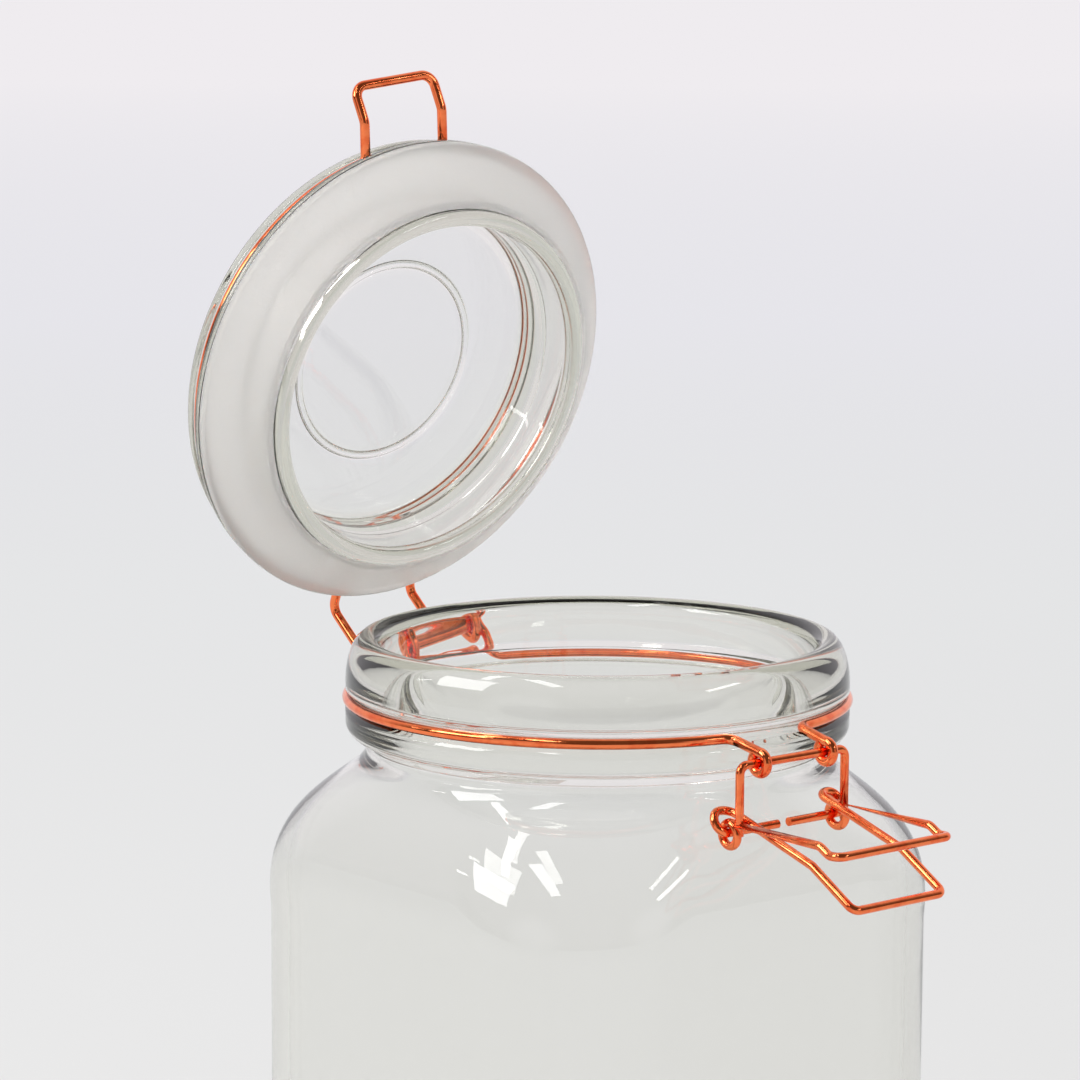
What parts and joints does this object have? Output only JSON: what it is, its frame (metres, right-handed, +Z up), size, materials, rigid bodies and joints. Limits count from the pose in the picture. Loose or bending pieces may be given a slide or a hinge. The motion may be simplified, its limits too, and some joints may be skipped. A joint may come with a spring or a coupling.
{
  "type": "storage jar",
  "caption": "Square glass storage jar with a wire-hinged glass lid, a dished seal and a wire toggle latch.",
  "frame": {"origin": "centre of the jar's base, on the surface that it stands on", "axes": "+Z up; -Y towards the latch at the front; +Y towards the hinge; +X to the right, seen from the front"},
  "size_m": [0.1117, 0.1613, 0.294],
  "materials": {
    "clear_glass": "clear pressed glass, fire-polished",
    "copper_wire": "bright copper plating on steel wire",
    "silicone": "matt translucent silicone"
  },
  "bodies": {
    "jar": {"jar_body": "clear_glass", "neck_band": "copper_wire"},
    "lid": {"lid_glass": "clear_glass", "seal": "silicone", "lid_band": "copper_wire"},
    "lever": {"lever": "copper_wire"},
    "bail": {"bail": "copper_wire"}
  },
  "joints": [
    {"name": "lid_hinge", "type": "hinge", "parent": "jar", "child": "lid", "pos_m": [0, 0.0548, 0.1761], "axis": [-0.994, -0.0591, -0.0924], "range_deg": [-74.8, 100]},
    {"name": "lever_pivot", "type": "hinge", "parent": "jar", "child": "lever", "pos_m": [0, -0.0566, 0.1685], "axis": [-1, 0, 0], "range_deg": [0, 100]},
    {"name": "bail_pivot", "type": "hinge", "parent": "lever", "child": "bail", "pos_m": [0, -0.05412, 0.15546], "axis": [-1, 0, 0], "range_deg": [-40, 10]}
  ]
}
